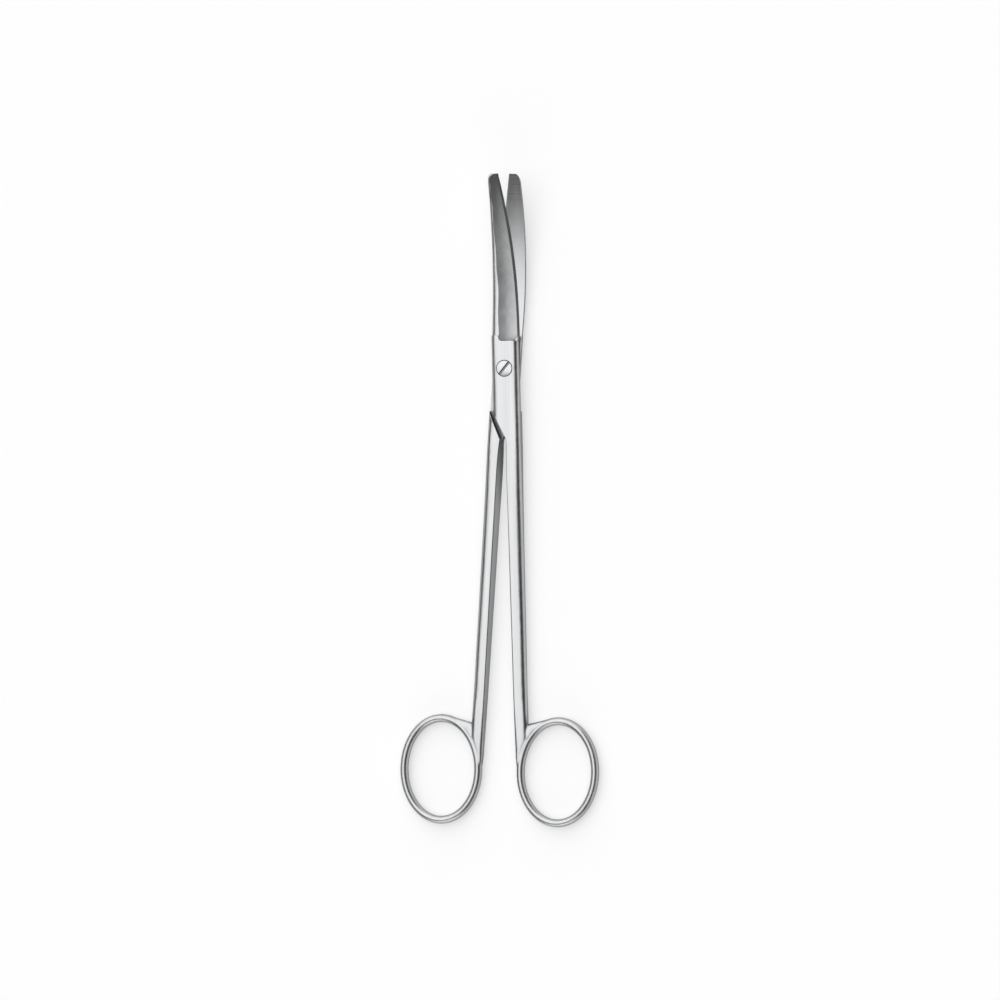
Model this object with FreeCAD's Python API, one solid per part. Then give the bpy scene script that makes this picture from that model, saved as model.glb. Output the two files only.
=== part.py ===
# Curved operating scissors with a slotted screw lap joint, lying on their back with the tips curving up.
# The pivot axis is Z through the origin, the tips point to +Y and the underside lies on Z = 0.

import FreeCAD, Part
import math
import os

Vector = FreeCAD.Vector

# Opening
open_at_rest = 5.0          # angle between the halves as modelled, from fully closed, degrees
closed_gap = 0.15           # from the centre plane to each handle's inner flat when closed

# Lap joint
lock_width = 8.5
lock_thickness = 5.6        # both halves together
lock_top = 10.2             # where the lock ends and the blades begin
lock_side_round = 1.8
lock_inner_round = 0.15
lap_clearance = 0.04        # between the two sliding faces
shoulder_outer = -13.0      # the shoulder's end on the side of the lock
shoulder_inner = -22.0      # the shoulder's end at the inner flat
shoulder_gap = 0.15
lock_end_land = 1.0         # the lock runs on this far below its shoulders

# Blades
blade_reach = 59.6          # from the pivot to the tips
bend_start = 14.3
bend_radius = 132.5
heel = 8.4                  # where the ground bevel ends
back_at_root = 4.1          # from the blade's centre line to its back
back_at_tip = 2.3
front_back_bow = -0.25
rear_back_bow = 0.85
edge_at_root = 4.4          # from the blade's centre line to its cutting edge
edge_at_tip = 0.85
edge_bow = 0.9
blade_thick_root = 2.75
blade_thick_tip = 1.6
blade_thick_bow = 0.25
back_round_root = 1.8       # rounding between the back and the outer face
back_round_tip = 0.6
ridge_offset_root = 0.55    # flat strip between the back's rounding and the ridge of the ground bevel
ridge_offset_tip = 0.05
ridge_turn_start = 24.0     # between these two places the ridge closes in on the rounding
ridge_turn_end = 42.0
edge_bevel_width = 0.65
edge_bevel_height = 0.45
edge_land = 0.04            # what is left of the edge's sharpness
main_bevel_wheel = 24.0     # radius of the wheel that hollows the main bevel
inner_hollow = 0.12
inner_hollow_start = 12.0
inner_hollow_growth = 8.0   # the hollow reaches its depth over this length
back_land = 0.7
edge_side_land = 0.25
runout_radius = 1.4         # of the grinding wheel at the heel
ridge_corner = 1.1          # rounding of the bevel's heel at the ridge
edge_corner = 1.4           # and at the cutting edge
nose_length = 1.6           # rounding of the tip seen from the side
nose_corner_width = 1.1     # rounding of the tip's outer corner seen from the front
nose_corner_length = 3.0

# Shanks
shank_inner_round = 0.35
shank_outer_round = 2.3
shank_mid = -50.0
shank_mid_width = 4.2
shank_mid_thickness = 5.0
shank_end = -105.0
shank_end_width = 4.1
shank_end_thickness = 4.1
shank_lean = 0.28           # how far the inner flat leans over half its height
shank_lean_start = -32.0
tail_length = 5.0           # the shank's end narrows into the ring's wire
tail_width_loss = 0.4
tail_height = 2.7

# Finger rings
ring_reach = 124.2          # from the pivot to the ring's centre
ring_half_width = 11.82     # of the wire's centre line
ring_half_length = 15.65
ring_tilt = 3.0             # the long axis against the handle's inner flat, lower end inwards
ring_wire_width = 2.4
ring_wire_height = 3.6
notch_height = 14.7         # from the ring's centre up to the notch between ring and shank
web_shrink = 0.1            # the web in the notch starts this far inside the wire's outer edge
web_root = 0.4              # and this far inside the wire's centre line
web_height = 3.0

# Pivot screw
head_diameter = 4.8
head_rim = 0.12             # the head's edge above the front face
head_dome = 0.28
head_sink = 1.1             # depth of the head's seat
seat_chamfer = 0.15         # at the mouth of the seat
slot_width = 0.85
slot_depth = 0.75
slot_angle = 52.0           # from +X
journal_diameter = 3.2
thread_diameter = 2.6
running_clearance = 0.04    # radial, in the half that turns
seat_clearance = 0.03

mid_height = lock_thickness / 2
lock_half = lock_width / 2
lock_bottom = shoulder_inner - lock_end_land
ring_mid_height = ring_wire_height / 2
ring_centre_x = closed_gap + ring_wire_width / 2 + ring_half_width
tail_end = lock_end_land / 2 - ring_reach
tail_start = tail_end + tail_length
far = 400.0                 # beyond the whole part


# Shape of the blade along its length

def bend(y):
    """How far the curve has lifted the blade at y."""
    if y <= bend_start:
        return 0.0
    return bend_radius - math.sqrt(bend_radius ** 2 - (y - bend_start) ** 2)


def bowed(y, at_root, at_tip, bow):
    """A value that runs from heel to tip on a shallow parabola."""
    s = (y - heel) / (blade_reach - heel)
    return at_root + (at_tip - at_root) * s + 4 * bow * s * (1 - s)


def falling(distance, length):
    """Quarter-ellipse law: 1 at the start of a rounding, 0 at its end."""
    share = min(max(distance / length, 0.0), 1.0)
    return math.sqrt(1 - share ** 2)


def spaced(start, end, count):
    return [start + (end - start) * i / count for i in range(count + 1)]


def edge_x(y):
    return bowed(y, edge_at_root, edge_at_tip, edge_bow)


def plain_back_x(hand, y):
    bow = front_back_bow if hand > 0 else rear_back_bow
    return -bowed(y, back_at_root, back_at_tip, bow)


def back_x(hand, y):
    """The back with the tip's outer corner rounded."""
    corner = falling(y - (blade_reach - nose_corner_length), nose_corner_length)
    return plain_back_x(hand, y) + nose_corner_width * (1 - corner)


def plain_thickness(y):
    return bowed(y, blade_thick_root, blade_thick_tip, blade_thick_bow)


def thickness(y):
    """The thickness with the nose rounded."""
    return plain_thickness(y) * falling(y - (blade_reach - nose_length), nose_length)


def plain_round(y):
    return bowed(y, back_round_root, back_round_tip, 0.0)


def ridge_offset(y):
    share = min(max((y - ridge_turn_start) / (ridge_turn_end - ridge_turn_start), 0.0), 1.0)
    smooth = share * share * (3 - 2 * share)
    return ridge_offset_root + (ridge_offset_tip - ridge_offset_root) * smooth


# Placing points: hand is 1 for the front half and -1 for the rear half, whose blade
# is the front one turned over, while the bend lifts both the same way.

def blade_point(hand, x, y, w):
    """w is the height out of the parting surface."""
    return Vector(hand * x, y, mid_height + bend(y) + hand * w)


def quarter(start, corner, end):
    """Rounding from start to end, tangent to the two lines through the corner."""
    curve = Part.BezierCurve()
    curve.setPoles([start, corner, end])
    curve.setWeight(2, math.sqrt(0.5))
    return curve.toShape()


def parabola(start, corner, end):
    curve = Part.BezierCurve()
    curve.setPoles([start, corner, end])
    return curve.toShape()


def line(a, b):
    return Part.LineSegment(a, b).toShape()


def polygon(points):
    return Part.Wire([line(a, b) for a, b in zip(points, points[1:] + points[:1])])


def plan_prism(hand, outline):
    """An outline of (x, y) points, through the whole height."""
    wire = polygon([Vector(hand * x, y, -far / 2) for x, y in outline])
    return Part.Face(wire).extrude(Vector(0, 0, far))


# Blade

blank_depth = 0.8           # the blank reaches this far past the parting surface before it is cut
blank_margin = 0.6          # and this far past the cutting edge
cutter_margin = 0.8         # a cutter reaches this far past what it cuts
body_shares = [0.0, 0.12, 0.25, 0.4, 0.545, 0.695, 0.82, 0.93, 1.0]
nose_shares = [2.7, 1.5, 0.9, 0.5, 0.25, 0.1, 0.02]


def blank_section(hand, y):
    left = back_x(hand, y)
    right = edge_x(y) + blank_margin
    top = thickness(y)
    radius = min(plain_round(y), 0.8 * top)
    crown = left + radius

    def at(x, w):
        return blade_point(hand, x, y, w)

    return Part.Wire([
        line(at(right, -blank_depth), at(left, -blank_depth)),
        line(at(left, -blank_depth), at(left, top - radius)),
        quarter(at(left, top - radius), at(left, top), at(crown, top)),
        line(at(crown, top), at(right, top)),
        line(at(right, top), at(right, -blank_depth)),
    ])


def blade_blank(hand):
    nose = [blade_reach - nose_length * share for share in nose_shares]
    stations = [heel + share * (nose[0] - heel) for share in body_shares] + nose[1:]
    return Part.makeLoft([blank_section(hand, y) for y in stations], True, False)


def ridge_x(hand, y):
    """The ridge between the back's rounded strip and the ground bevel."""
    return plain_back_x(hand, y) + plain_round(y) + ridge_offset(y)


def bevel_section(hand, y):
    """What the wheel takes off the outer face: hollow main bevel and narrow edge bevel."""
    edge = edge_x(y)
    inner = edge - edge_bevel_width
    top_x = ridge_x(hand, y)
    height = plain_thickness(y)
    slope = (height - edge_bevel_height) / (inner - top_x)
    hollow = math.hypot(inner - top_x, height - edge_bevel_height) ** 2 / (8 * main_bevel_wheel)
    fine_slope = (edge_bevel_height - edge_land) / edge_bevel_width
    above = plain_thickness(y) + 5 * cutter_margin

    def at(x, w):
        return blade_point(hand, x, y, w)

    start = at(top_x - cutter_margin, height + slope * cutter_margin)
    top_of_bevel = at(top_x, height)
    sag = at((top_x + inner) / 2, (height + edge_bevel_height) / 2 - 2 * hollow)
    foot = at(inner, edge_bevel_height)
    out = at(edge + cutter_margin, edge_land - fine_slope * cutter_margin)
    return Part.Wire([
        line(start, top_of_bevel),
        parabola(top_of_bevel, sag, foot),
        line(foot, out),
        line(out, at(edge + cutter_margin, above)),
        line(at(edge + cutter_margin, above), at(top_x - cutter_margin, above)),
        line(at(top_x - cutter_margin, above), start),
    ])


def runout_prism(hand):
    """The wheel's path seen from the side: steep at the heel, with the wheel's radius at its foot."""
    low = edge_bevel_height
    turn = runout_radius * (1 - math.sqrt(0.5))
    arc_start = Vector(-far / 2, heel, mid_height + hand * (low + runout_radius))
    arc_mid = Vector(-far / 2, heel + turn, mid_height + hand * (low + turn))
    arc_end = Vector(-far / 2, heel + runout_radius, mid_height + hand * low)
    under = Vector(-far / 2, heel + runout_radius, mid_height - hand * far / 4)
    beyond = Vector(-far / 2, far / 2, mid_height - hand * far / 4)
    over = Vector(-far / 2, far / 2, mid_height + hand * far / 4)
    start = Vector(-far / 2, heel, mid_height + hand * far / 4)
    wire = Part.Wire([
        line(start, arc_start),
        Part.Arc(arc_start, arc_mid, arc_end).toShape(),
        line(arc_end, under),
        line(under, beyond),
        line(beyond, over),
        line(over, start),
    ])
    return Part.Face(wire).extrude(Vector(far, 0, 0))


def corner_prism(hand):
    """Seen from the front, the bevel's heel has rounded corners at the ridge and at the edge."""
    left_y = heel + ridge_corner
    right_y = heel + edge_corner
    left = ridge_x(hand, left_y)
    right = edge_at_root
    turn = 1 - math.sqrt(0.5)

    def at(x, y):
        return Vector(hand * x, y, -far / 2)

    left_mid = at(left + turn * ridge_corner, heel + turn * ridge_corner)
    right_mid = at(right - turn * edge_corner, heel + turn * edge_corner)
    wide = at(left - 3 * ridge_corner, left_y + ridge_corner)
    wire = Part.Wire([
        line(at(right - edge_corner, heel), at(left + ridge_corner, heel)),
        Part.Arc(at(left + ridge_corner, heel), left_mid, at(left, left_y)).toShape(),
        line(at(left, left_y), wide),
        line(wide, Vector(wide.x, far / 2, wide.z)),
        line(Vector(wide.x, far / 2, wide.z), at(far / 4, far / 2)),
        line(at(far / 4, far / 2), at(far / 4, right_y)),
        line(at(far / 4, right_y), at(right, right_y)),
        Part.Arc(at(right, right_y), right_mid, at(right - edge_corner, heel)).toShape(),
    ])
    return Part.Face(wire).extrude(Vector(0, 0, far))


def bevel_cutter(hand):
    stations = spaced(heel - cutter_margin, blade_reach + cutter_margin, 11)
    wedge = Part.makeLoft([bevel_section(hand, y) for y in stations], True, False)
    return wedge.common(runout_prism(hand)).common(corner_prism(hand))


def edge_trim(hand):
    """Everything past the cutting edge's line."""
    stations = spaced(heel - cutter_margin, blade_reach + cutter_margin, 9)
    points = [Vector(hand * edge_x(y), y, -far / 2) for y in stations]
    curve = Part.BSplineCurve()
    curve.interpolate(points)
    outer_end = Vector(hand * far / 8, points[-1].y, -far / 2)
    outer_start = Vector(hand * far / 8, points[0].y, -far / 2)
    wire = Part.Wire([
        curve.toShape(),
        line(points[-1], outer_end),
        line(outer_end, outer_start),
        line(outer_start, points[0]),
    ])
    return Part.Face(wire).extrude(Vector(0, 0, far))


def hollow_cutter(hand):
    """The shallow hollow of the inner face between its two lands."""
    sink = lap_clearance
    low = -blank_depth

    def section(y):
        left = back_x(hand, y) + back_land
        right = edge_x(y) - edge_side_land
        grown = min((y - inner_hollow_start) / inner_hollow_growth, 1.0)
        depth = lap_clearance + inner_hollow * grown

        def at(x, w):
            return blade_point(hand, x, y, w)

        return Part.Wire([
            parabola(at(left, -sink), at((left + right) / 2, 2 * depth + sink), at(right, -sink)),
            line(at(right, -sink), at(right, low)),
            line(at(right, low), at(left, low)),
            line(at(left, low), at(left, -sink)),
        ])

    stations = spaced(inner_hollow_start, blade_reach - nose_length, 10)
    return Part.makeLoft([section(y) for y in stations], True, False)


# Lock and parting surface

def section_wire(hand, y, inner, outer, bottom, top, inner_round, outer_round, lean=0.0):
    """A shank's section: flat inner side, crisp inner corners and a rounded outer side."""
    low = inner + hand * lean
    high = inner - hand * lean

    def at(x, z):
        return Vector(hand * x, y, z)

    return Part.Wire([
        line(at(low, bottom + inner_round), at(high, top - inner_round)),
        quarter(at(high, top - inner_round), at(high, top), at(high + inner_round, top)),
        line(at(high + inner_round, top), at(outer - outer_round, top)),
        quarter(at(outer - outer_round, top), at(outer, top), at(outer, top - outer_round)),
        line(at(outer, top - outer_round), at(outer, bottom + outer_round)),
        quarter(at(outer, bottom + outer_round), at(outer, bottom), at(outer - outer_round, bottom)),
        line(at(outer - outer_round, bottom), at(low + inner_round, bottom)),
        quarter(at(low + inner_round, bottom), at(low, bottom), at(low, bottom + inner_round)),
    ])


def lock_bar():
    """The closed lock: a flat bar with rounded sides."""
    wire = section_wire(1, lock_bottom, -lock_half, lock_half, 0.0, lock_thickness,
                        lock_side_round, lock_side_round)
    return Part.Face(wire).extrude(Vector(0, lock_top - lock_bottom, 0))


def shoulder_line(x):
    """The y of a half's own shoulder at x, in the half's own hand."""
    slope = (shoulder_inner - shoulder_outer) / (closed_gap + lock_half)
    return shoulder_outer + slope * (x + lock_half)


def own_shoulder(hand):
    """What lies beyond a half's own oblique shoulder and inner flat."""
    outside = -2 * lock_half
    return plan_prism(hand, [
        (outside, shoulder_line(outside)),
        (closed_gap, shoulder_inner),
        (closed_gap, -far / 2),
        (-far / 2, -far / 2),
        (-far / 2, shoulder_line(outside)),
    ])


def parting_solid(hand):
    """What belongs to the other half: the far side of the parting surface, from its shoulder to the tips."""
    w = lap_clearance / 2
    x = -far / 2
    bend_end = bend_start + 0.6 * bend_radius

    def at(y, height):
        return Vector(x, y, mid_height + bend(y) + hand * height)

    deep = mid_height - hand * far / 4
    wire = Part.Wire([
        line(at(-far / 4, w), at(bend_start, w)),
        Part.Arc(at(bend_start, w), at((bend_start + bend_end) / 2, w), at(bend_end, w)).toShape(),
        line(at(bend_end, w), Vector(x, bend_end, deep)),
        line(Vector(x, bend_end, deep), Vector(x, -far / 4, deep)),
        line(Vector(x, -far / 4, deep), at(-far / 4, w)),
    ])
    layer = Part.Face(wire).extrude(Vector(far, 0, 0))
    run = closed_gap + lock_half
    rise = shoulder_inner - shoulder_outer
    drop = shoulder_gap * math.hypot(run, rise) / run
    reach = 6 * lock_half
    region = plan_prism(hand, [
        (reach, shoulder_line(-reach) - drop),
        (-reach, shoulder_line(reach) - drop),
        (-reach, far / 2),
        (reach, far / 2),
    ])
    return layer.common(region)


# Shank and ring

shank_shares = [0.0, 0.09, 0.21, 0.37, 0.53, 0.67, 0.77, 0.835, 0.88, 0.91, 0.935, 0.958, 0.98, 1.0]
thinnest_share = 0.4        # of a rounding in the width it has to fit in


def centre_line_x(y):
    """The ring wire's centre line on the side of the shank."""
    return ring_centre_x - ring_half_width * falling(abs(y + ring_reach), ring_half_length)


def along(y, places):
    """A size read between the places where it is given, from the lock down."""
    for (y_a, a), (y_b, b) in zip(places, places[1:]):
        if y >= y_b:
            return a + (b - a) * (y - y_a) / (y_b - y_a)
    return places[-1][1]


def shank_section(hand, y):
    inner = closed_gap + along(y, [(lock_bottom, 0.0), (tail_start, 0.0), (tail_end, tail_width_loss)])
    outer = along(y, [(lock_bottom, lock_half), (shank_mid, shank_mid_width), (shank_end, shank_end_width)])
    outer = min(outer, centre_line_x(y))
    lean = along(y, [(lock_bottom, 0.0), (shank_lean_start, shank_lean), (tail_start, 0.0)])
    thick = along(y, [(lock_bottom, lock_thickness), (shank_mid, shank_mid_thickness),
                      (shank_end, shank_end_thickness), (tail_start, ring_wire_height), (tail_end, tail_height)])
    centre = along(y, [(lock_bottom, mid_height), (shank_end, shank_end_thickness / 2),
                       (tail_start, ring_mid_height)])
    inner_round = along(y, [(lock_bottom, lock_inner_round), (shank_mid, shank_inner_round),
                            (shank_end, 1.5 * shank_inner_round), (tail_start, 3 * shank_inner_round)])
    outer_round = along(y, [(lock_bottom, lock_side_round), (shank_mid, shank_outer_round),
                            (tail_start, 0.8 * shank_outer_round)])
    if y < shank_end:
        largest = thinnest_share * (outer - inner)
        inner_round = min(inner_round, largest)
        outer_round = min(outer_round, largest)
    return section_wire(hand, y, inner, outer, centre - thick / 2, centre + thick / 2,
                        inner_round, outer_round, lean)


def shank(hand):
    """From the lock to inside the ring's wire, following the wire's centre line at its end."""
    stations = [lock_bottom + share * (tail_end - lock_bottom) for share in shank_shares]
    return Part.makeLoft([shank_section(hand, y) for y in stations], True, False)


def ring_axes(hand):
    """The ring's centre and the directions across and along it."""
    tilt = math.radians(ring_tilt)
    centre = Vector(hand * ring_centre_x, -ring_reach, ring_mid_height)
    across = Vector(hand * math.cos(tilt), -math.sin(tilt), 0)
    upward = Vector(hand * math.sin(tilt), math.cos(tilt), 0)
    return centre, across, upward


def ring(hand):
    """Oval wire swept round an ellipse."""
    centre, across, upward = ring_axes(hand)
    top = centre + upward * ring_half_length
    path = Part.Wire([Part.Ellipse(top, centre + across * ring_half_width, centre).toShape()])
    up = Vector(0, 0, ring_wire_height / 2)
    profile = Part.Ellipse(top + up, top + upward * (ring_wire_width / 2), top)
    return path.makePipeShell([Part.Wire([profile.toShape()])], True, True)


def notch_web(hand):
    """The ring's root spreads into the shank: from a tangent of its outer edge down to the wire."""
    centre, across, upward = ring_axes(hand)
    wire_half = ring_wire_width / 2
    outer_a = ring_half_width + wire_half
    outer_b = ring_half_length + wire_half
    notch_u = shank_end_width - ring_centre_x
    # the tangent from the notch to the ring's outer edge touches it at this angle
    swing = math.atan2(notch_height / outer_b, notch_u / outer_a)
    start = swing - math.acos(1 / math.hypot(notch_u / outer_a, notch_height / outer_b))
    touch_u = outer_a * math.cos(start)
    touch_v = outer_b * math.sin(start)
    fall_u = notch_u - touch_u
    fall_v = notch_height - touch_v
    shank_u = (closed_gap + shank_end_width) / 2 - ring_centre_x
    end = math.acos((notch_u - wire_half / 2) / ring_half_width)
    sections = []
    for angle in spaced(start, end, 8):
        u = ring_half_width * math.cos(angle)
        v = ring_half_length * math.sin(angle)
        normal = Vector(math.cos(angle) / ring_half_width, math.sin(angle) / ring_half_length, 0)
        normal.normalize()
        # along the normal, from the centre line to the tangent, but no further than the shank's middle
        cross = fall_u * normal.y - fall_v * normal.x
        outer = (fall_u * (touch_v - v) - fall_v * (touch_u - u)) / cross
        if u + normal.x * outer < shank_u:
            outer = (shank_u - u) / normal.x
        outer -= web_shrink
        middle = (outer - web_root) / 2
        place = centre + across * (u + normal.x * middle) + upward * (v + normal.y * middle)
        side = (across * normal.x + upward * normal.y) * ((outer + web_root) / 2)
        up = Vector(0, 0, web_height / 2)
        if side.Length > up.Length:
            curve = Part.Ellipse(place + side, place + up, place)
        else:
            curve = Part.Ellipse(place + up, place + side, place)
        sections.append(Part.Wire([curve.toShape()]))
    return Part.makeLoft(sections, True, False)


# Halves and screw

def head_seat(hand):
    """The front half's seat and running hole, or the rear half's thread hole."""
    if hand < 0:
        return Part.makeCylinder(thread_diameter / 2, far, Vector(0, 0, -far / 2))
    seat_floor = lock_thickness - head_sink
    seat_radius = head_diameter / 2 + running_clearance
    seat = Part.makeCylinder(seat_radius, far / 4, Vector(0, 0, seat_floor))
    mouth = Part.makeCone(seat_radius, seat_radius + 2 * seat_chamfer, 2 * seat_chamfer,
                          Vector(0, 0, lock_thickness - seat_chamfer))
    hole = Part.makeCylinder(journal_diameter / 2 + running_clearance, far, Vector(0, 0, -far / 2))
    return seat.fuse(mouth).fuse(hole)


def half(hand):
    body = lock_bar().fuse(blade_blank(hand))
    body = body.cut(bevel_cutter(hand))
    body = body.cut(edge_trim(hand))
    body = body.cut(own_shoulder(hand))
    body = body.fuse(shank(hand)).fuse(ring(hand)).fuse(notch_web(hand))
    body = body.cut(parting_solid(hand))
    body = body.cut(hollow_cutter(hand))
    body = body.cut(head_seat(hand))
    body.rotate(Vector(0, 0, 0), Vector(0, 0, 1), hand * open_at_rest / 2)
    return body


def pivot_screw():
    face = lock_thickness
    seat_floor = face - head_sink + seat_clearance
    head_radius = head_diameter / 2
    lap = mid_height - lap_clearance / 2
    dome_radius = (head_radius ** 2 + head_dome ** 2) / (2 * head_dome)
    rim = face + head_rim
    lean = math.asin(head_radius / dome_radius) / 2
    outline = [
        Vector(0, 0, 0),
        Vector(thread_diameter / 2, 0, 0),
        Vector(thread_diameter / 2, 0, lap),
        Vector(journal_diameter / 2, 0, lap),
        Vector(journal_diameter / 2, 0, seat_floor),
        Vector(head_radius, 0, seat_floor),
        Vector(head_radius, 0, rim),
    ]
    crown = Vector(0, 0, rim + head_dome)
    side = Vector(dome_radius * math.sin(lean), 0, crown.z - dome_radius * (1 - math.cos(lean)))
    edges = [line(a, b) for a, b in zip(outline, outline[1:])]
    edges.append(Part.Arc(outline[-1], side, crown).toShape())
    edges.append(line(crown, outline[0]))
    body = Part.Face(Part.Wire(edges)).revolve(Vector(0, 0, 0), Vector(0, 0, 1), 360)
    slot = Part.makeBox(2 * head_diameter, slot_width, far,
                        Vector(-head_diameter, -slot_width / 2, rim + head_dome - slot_depth))
    slot.rotate(Vector(0, 0, 0), Vector(0, 0, 1), slot_angle)
    return body.cut(slot)


os.makedirs("parts", exist_ok=True)
pieces = {"front_half": half(1), "rear_half": half(-1), "pivot_screw": pivot_screw()}
for name, shape in pieces.items():
    solids = shape.Solids
    box = shape.BoundBox
    print(name, "solids", len(solids), "valid", shape.isValid(), "volume %.1f" % shape.Volume,
          "faces", len(shape.Faces),
          "box %.2f %.2f %.2f to %.2f %.2f %.2f" % (box.XMin, box.YMin, box.ZMin, box.XMax, box.YMax, box.ZMax))
    solids[0].exportStep("parts/" + name + ".step")
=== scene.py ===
import math

import bmesh
import bpy
from mathutils import Matrix, Vector

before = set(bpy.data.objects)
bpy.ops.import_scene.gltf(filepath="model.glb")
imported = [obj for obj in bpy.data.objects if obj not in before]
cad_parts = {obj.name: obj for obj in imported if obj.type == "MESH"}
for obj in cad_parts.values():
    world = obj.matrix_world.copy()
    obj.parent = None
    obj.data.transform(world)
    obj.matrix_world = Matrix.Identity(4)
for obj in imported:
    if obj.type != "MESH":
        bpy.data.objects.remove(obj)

# Curved operating scissors. The three steel pieces come from model.glb, this script
# gives them their finish and sets up the floor, the light and the camera.

scene = bpy.context.scene
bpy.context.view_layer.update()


# Shader maths: a Sock is one output, and an expression on Socks adds Math nodes.
class Sock:
    def __init__(self, tree, link=None):
        self.tree = tree
        self.link = link

    def node(self, kind, settings=None, inputs=None, out=0):
        made = self.tree.nodes.new(kind)
        for name, value in (settings or {}).items():
            setattr(made, name, value)
        for name, value in (inputs or {}).items():
            if isinstance(value, Sock):
                self.tree.links.new(value.link, made.inputs[name])
            else:
                made.inputs[name].default_value = value
        return Sock(self.tree, made.outputs[out]) if made.outputs else None

    def maths(self, operation, first, second=None, clamp=False):
        inputs = {0: first}
        if second is not None:
            inputs[1] = second
        return self.node("ShaderNodeMath", {"operation": operation, "use_clamp": clamp}, inputs)

    def __add__(self, other):
        return self.maths("ADD", self, other)

    def __radd__(self, other):
        return self.maths("ADD", other, self)

    def __sub__(self, other):
        return self.maths("SUBTRACT", self, other)

    def __rsub__(self, other):
        return self.maths("SUBTRACT", other, self)

    def __mul__(self, other):
        return self.maths("MULTIPLY", self, other)

    def __rmul__(self, other):
        return self.maths("MULTIPLY", other, self)

    def ramp(self, low, high):
        # 0 at low, 1 at high, smooth in between
        return self.node("ShaderNodeMapRange", {"interpolation_type": "SMOOTHSTEP"},
                         {"Value": self, "From Min": low, "From Max": high})

    def parts(self):
        split = self.node("ShaderNodeSeparateXYZ", None, {0: self}).link.node
        return [Sock(self.tree, out) for out in split.outputs]


def newMaterial(name):
    material = bpy.data.materials.new(name)
    material.use_nodes = True
    material.node_tree.nodes.clear()
    return material, Sock(material.node_tree)


def finishMaterial(net, surface):
    net.node("ShaderNodeOutputMaterial", None, {"Surface": surface})


def mixColours(net, share, first, second, blend="MIX"):
    return net.node("ShaderNodeMix", {"data_type": "RGBA", "blend_type": blend},
                    {0: share, 6: first, 7: second}, out=2)


def airAround(net, reach):
    # 1 in the open, less where something lies within reach
    return net.node("ShaderNodeAmbientOcclusion", {"samples": 8}, {"Distance": reach}, out="AO")


def fromPivot(net, place):
    return net.maths("SQRT", place[0] * place[0] + place[1] * place[1])


# Steel

halfLook = {
    "colour": (0.46, 0.465, 0.47, 1),
    "creviceShadeColour": (0.13, 0.13, 0.135, 1),     # painted shade in crevices and round the screw head
    "wornColour": (0.66, 0.665, 0.67, 1),     # along edges
    "edgeTint": 0.4,                          # reflection at a grazing angle
    "roughness": 0.22,
    "plainTone": 0.7,                         # what clouds, grain and streaks add to
    "clouds": {"scale": 70.0, "tone": 0.14, "rough": 0.06},
    "grain": {"across": 2600.0, "along": 30.0, "tone": 0.2, "rough": 0.08},    # lines to the metre
    "grainHeight": 0.000006,
    "streaks": {"across": 1200.0, "along": 14.0, "tone": 0.26},
    "scratches": {"across": 900.0, "along": 25.0, "from": 0.68, "to": 0.76, "depth": -0.9},
    "worn": {"from": 0.01, "to": 0.12, "share": 0.7, "rough": -0.05},
    "creviceShade": {"reach": 0.0007, "from": 0.25, "to": 0.8, "share": 0.8, "rough": 0.15},
    "shelterShade": {"reach": 0.004, "from": 0.2, "to": 0.95, "share": 0.6},    # painted shade on sides sheltered by nearby steel or the floor
    "edgeWidth": 0.00016,
    "ringEdgeWidth": 0.0009,                  # softer where the ring grows out of the shank
    "ringStart": -0.1075,
    "ringBlend": 0.004,
    "seatShadeRadius": {1: 0.00252, -1: 0.00138},  # painted shade: a dark line in the gap round the screw, front and rear
    "seatBlend": 0.00012,
    "heel": 0.0084,
    "heelBlend": 0.001,
    "halfTurn": math.radians(2.5),            # each half lies turned by half the opening
}

screwLook = {
    "colour": (0.49, 0.495, 0.5, 1),
    # painted shade in crevices
    "creviceShadeColour": (0.08, 0.08, 0.085, 1),
    "roughness": 0.22,
    "slotShade": 0.5,                         # painted shade in the slot, darker than the turned head
    "slotHeight": 0.0056,
    "slotBlend": 0.0001,
    "slotRough": 0.15,
    "rimRadius": 0.00238,
    "rimBlend": 0.00012,
    # painted shade on the head's rim
    "rimShade": 0.4,
    "rings": {"perMetre": 5200.0, "height": 0.5, "rough": 0.02},
    "clouds": {"scale": 900.0, "rough": 0.06},
    "bumpHeight": 0.000003,
    "creviceShade": {"reach": 0.0007, "from": 0.35, "to": 0.85, "share": 0.85, "rough": 0.15},
    "edgeWidth": 0.00008,
}


def brushedLines(net, coords, across, along, turned=False):
    # noise drawn out along the shank, or across it where turned
    scale = (along, across, across) if turned else (across, along, across)
    stretched = net.node("ShaderNodeMapping", None, {"Vector": coords, "Scale": scale})
    return net.node("ShaderNodeTexNoise", None,
                    {"Vector": stretched, "Scale": 1.0, "Detail": 3.0, "Roughness": 0.6})


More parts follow.
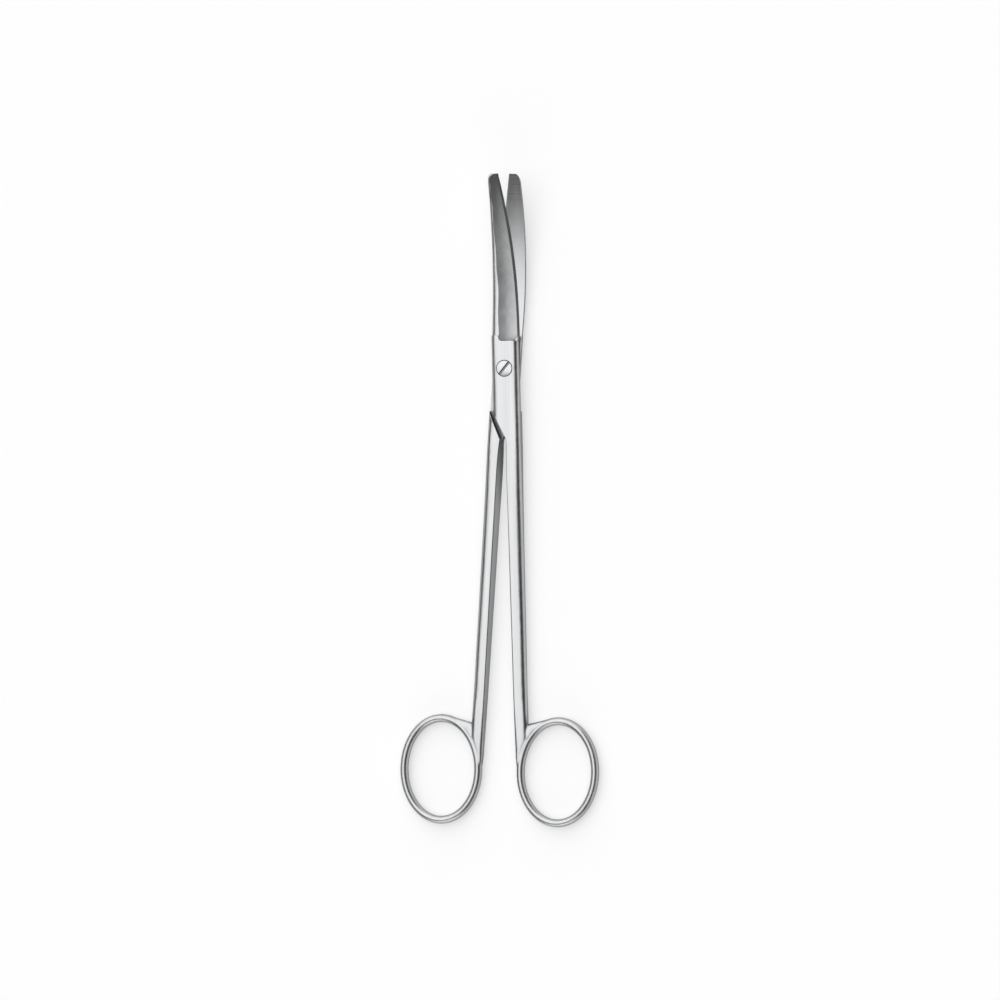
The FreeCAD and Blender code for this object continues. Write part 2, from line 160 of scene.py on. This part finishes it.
def makeHalfSteel(name, look, side):
    material, net = newMaterial(name)
    coords = net.node("ShaderNodeTexCoord", out="Object")
    coords = net.node("ShaderNodeMapping", None,
                      {"Vector": coords, "Rotation": (0, 0, -side * look["halfTurn"])})
    place = coords.parts()
    onBlade = place[1].ramp(look["heel"], look["heel"] + look["heelBlend"])
    onRing = 1 - place[1].ramp(look["ringStart"], look["ringStart"] + look["ringBlend"])

    # brushed along the shank and lock, and across the blade
    lines = look["grain"]
    lengthwise = brushedLines(net, coords, lines["across"], lines["along"])
    crosswise = brushedLines(net, coords, lines["across"], lines["along"], turned=True)
    grain = lengthwise * (1 - onBlade) + crosswise * onBlade
    lines = look["streaks"]
    streaks = brushedLines(net, coords, lines["across"], lines["along"])
    streaks = streaks * (1 - onBlade) + onBlade * 0.5
    lines = look["scratches"]
    scratches = brushedLines(net, coords, lines["across"], lines["along"])
    scratches = scratches.ramp(lines["from"], lines["to"]) * (1 - onBlade)
    clouds = net.node("ShaderNodeTexNoise", None,
                      {"Vector": coords, "Scale": look["clouds"]["scale"], "Detail": 4.0})

    # softened edges, sharp on the blade, and where they differ from the plain ones they are worn
    softness = onRing * (look["ringEdgeWidth"] - look["edgeWidth"]) + look["edgeWidth"]
    softness = softness * (1 - onBlade)
    softNormal = net.node("ShaderNodeBevel", {"samples": 8}, {"Radius": softness})
    plainNormal = net.node("ShaderNodeNewGeometry", out="Normal")
    likeness = net.node("ShaderNodeVectorMath", {"operation": "DOT_PRODUCT"},
                        {0: softNormal, 1: plainNormal}, out="Value")
    worn = (1 - likeness).ramp(look["worn"]["from"], look["worn"]["to"]) * (1 - onRing)

    # painted shade: darker where other steel lies within reach, and in a ring round the screw head
    deep = look["creviceShade"]
    openness = airAround(net, deep["reach"])
    seatShade = look["seatShadeRadius"][side]
    seatShade = 1 - fromPivot(net, place).ramp(seatShade, seatShade + look["seatBlend"])
    creviceShade = net.maths("MAXIMUM", 1 - openness.ramp(deep["from"], deep["to"]), seatShade)
    wide = look["shelterShade"]
    shelterShade = 1 - airAround(net, wide["reach"]).ramp(wide["from"], wide["to"])

    tone = clouds * look["clouds"]["tone"] + grain * look["grain"]["tone"]
    tone = tone + streaks * look["streaks"]["tone"] + look["plainTone"]
    # painted shade: the tone is darkened where the steel is sheltered
    tone = tone * (1 - shelterShade * wide["share"])
    colour = mixColours(net, 1.0, look["colour"], tone, "MULTIPLY")
    colour = mixColours(net, worn * look["worn"]["share"], colour, look["wornColour"])
    colour = mixColours(net, creviceShade * deep["share"], colour, look["creviceShadeColour"])
    roughness = grain * look["grain"]["rough"] + clouds * look["clouds"]["rough"]
    roughness = roughness + creviceShade * deep["rough"] + worn * look["worn"]["rough"] + look["roughness"]
    height = grain + scratches * look["scratches"]["depth"]
    normal = net.node("ShaderNodeBump", None,
                      {"Height": height, "Distance": look["grainHeight"], "Normal": softNormal})
    finishMaterial(net, net.node("ShaderNodeBsdfPrincipled", None, {
        "Base Color": colour, "Metallic": 1.0, "Roughness": roughness, "Normal": normal,
        "Specular Tint": (look["edgeTint"],) * 3 + (1,)}))
    return material


def makeScrewSteel(name, look):
    material, net = newMaterial(name)
    coords = net.node("ShaderNodeTexCoord", out="Object")
    place = coords.parts()
    radius = fromPivot(net, place)
    rings = net.maths("SINE", radius * (look["rings"]["perMetre"] * 2 * math.pi))
    clouds = net.node("ShaderNodeTexNoise", None,
                      {"Vector": coords, "Scale": look["clouds"]["scale"], "Detail": 3.0})
    # painted shade in crevices, in the slot and on the head's rim
    deep = look["creviceShade"]
    creviceShade = 1 - airAround(net, deep["reach"]).ramp(deep["from"], deep["to"])
    inSlot = 1 - place[2].ramp(look["slotHeight"], look["slotHeight"] + look["slotBlend"])
    onRim = radius.ramp(look["rimRadius"] - look["rimBlend"], look["rimRadius"])
    shade = (1 - inSlot * (1 - look["slotShade"])) * (1 - onRim * (1 - look["rimShade"]))
    colour = mixColours(net, 1.0, look["colour"], shade, "MULTIPLY")
    colour = mixColours(net, creviceShade * deep["share"], colour, look["creviceShadeColour"])
    roughness = rings * look["rings"]["rough"] + clouds * look["clouds"]["rough"]
    roughness = roughness + creviceShade * deep["rough"] + inSlot * look["slotRough"] + look["roughness"]
    softNormal = net.node("ShaderNodeBevel", {"samples": 4}, {"Radius": look["edgeWidth"]})
    normal = net.node("ShaderNodeBump", None, {
        "Height": rings * look["rings"]["height"] + clouds,
        "Distance": look["bumpHeight"], "Normal": softNormal})
    finishMaterial(net, net.node("ShaderNodeBsdfPrincipled", None, {
        "Base Color": colour, "Metallic": 1.0, "Roughness": roughness, "Normal": normal}))
    return material


def dress(nodeName, material):
    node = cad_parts[nodeName]
    node.data.materials.clear()
    node.data.materials.append(material)


dress("front_half", makeHalfSteel("satinSteelFront", halfLook, 1))
dress("rear_half", makeHalfSteel("satinSteelRear", halfLook, -1))
dress("pivot_screw", makeScrewSteel("turnedScrewSteel", screwLook))
print("steel finishes done")


# Floor

floorLook = {
    "radius": 4.0,
    "segments": 96,
    "drop": 0.0001,
    "colour": (0.97, 0.97, 0.97, 1),
    "whiteShare": 0.5,               # how much of what is seen of the floor is plain white
}


def makeFloor(look):
    shape = bmesh.new()
    bmesh.ops.create_circle(shape, cap_ends=True, segments=look["segments"], radius=look["radius"],
                            matrix=Matrix.Translation((0, 0, -look["drop"])))
    mesh = bpy.data.meshes.new("studioFloor")
    shape.to_mesh(mesh)
    shape.free()
    floor = bpy.data.objects.new("studioFloor", mesh)
    scene.collection.objects.link(floor)
    material, net = newMaterial("paleFloor")
    path = net.node("ShaderNodeLightPath").link.node.outputs
    seen = Sock(net.tree, path["Is Camera Ray"]) + Sock(net.tree, path["Is Glossy Ray"])
    seen = net.maths("ADD", seen, Sock(net.tree, path["Is Transmission Ray"]), clamp=True)
    matt = net.node("ShaderNodeBsdfDiffuse", None, {"Color": look["colour"]})
    white = net.node("ShaderNodeEmission", None, {"Strength": 1.0})
    finishMaterial(net, net.node("ShaderNodeMixShader", None,
                                 {0: seen * look["whiteShare"], 1: matt, 2: white}))
    mesh.materials.append(material)


makeFloor(floorLook)
print("floor done")


# Light: a broad soft sky that fades out low on the left, on the right and towards the handles

skyLook = {
    "bright": 1.85,
    "dim": 0.065,
    "handleSide": (-0.53, -0.13),    # where the sky fades, as parts of a direction along Y
    "behindHandles": (-0.9, -0.72),  # and where it is light again, low down
    "leftSide": (-0.95, -0.55),      # and along X
    "rightSide": (0.2, 0.75),
}


def makeSky(look):
    world = bpy.data.worlds.new("studioSky")
    scene.world = world
    world.use_nodes = True
    world.node_tree.nodes.clear()
    net = Sock(world.node_tree)
    direction = net.node("ShaderNodeTexCoord", out="Generated").parts()
    above = direction[1].ramp(*look["handleSide"])
    behind = 1 - direction[1].ramp(*look["behindHandles"])
    left = direction[0].ramp(*look["leftSide"])
    right = 1 - direction[0].ramp(*look["rightSide"])
    strength = (above + behind) * left * right * (look["bright"] - look["dim"]) + look["dim"]
    sky = net.node("ShaderNodeBackground", None, {"Color": (1, 1, 1, 1), "Strength": strength})
    net.node("ShaderNodeOutputWorld", None, {"Surface": sky})


makeSky(skyLook)
print("light done")


# Camera: looks down on the front face, turned a little to the right of it

viewLook = {
    "turn": math.radians(15.5),       # about the scissors' long axis
    "roll": math.radians(1.15),
    "metresPerPixel": 0.0003067,
    "imageSize": 1000,
    "screwPixel": (503.85, 368.3),
    "screwHead": Vector((0, 0, 0.006)),
    "lens": 300.0,
    "sensor": 36.0,
    "clipEnd": 100.0,
}


def makeCamera(look):
    toCamera = Vector((math.sin(look["turn"]), 0, math.cos(look["turn"])))
    across = Vector((math.cos(look["turn"]), 0, -math.sin(look["turn"])))
    upward = Vector((0, 1, 0))
    right = across * math.cos(look["roll"]) + upward * math.sin(look["roll"])
    top = upward * math.cos(look["roll"]) - across * math.sin(look["roll"])
    middle = look["imageSize"] / 2
    target = (look["screwHead"]
              + right * ((middle - look["screwPixel"][0]) * look["metresPerPixel"])
              + top * ((look["screwPixel"][1] - middle) * look["metresPerPixel"]))
    width = look["imageSize"] * look["metresPerPixel"]
    distance = width * look["lens"] / look["sensor"]
    data = bpy.data.cameras.new("photoCamera")
    data.lens = look["lens"]
    data.sensor_width = look["sensor"]
    data.clip_end = look["clipEnd"]
    camera = bpy.data.objects.new("photoCamera", data)
    scene.collection.objects.link(camera)
    turned = Matrix((right, top, toCamera)).transposed().to_4x4()
    camera.matrix_world = Matrix.Translation(target + toCamera * distance) @ turned
    scene.camera = camera


makeCamera(viewLook)
scene.view_settings.view_transform = "Standard"
print("camera done")
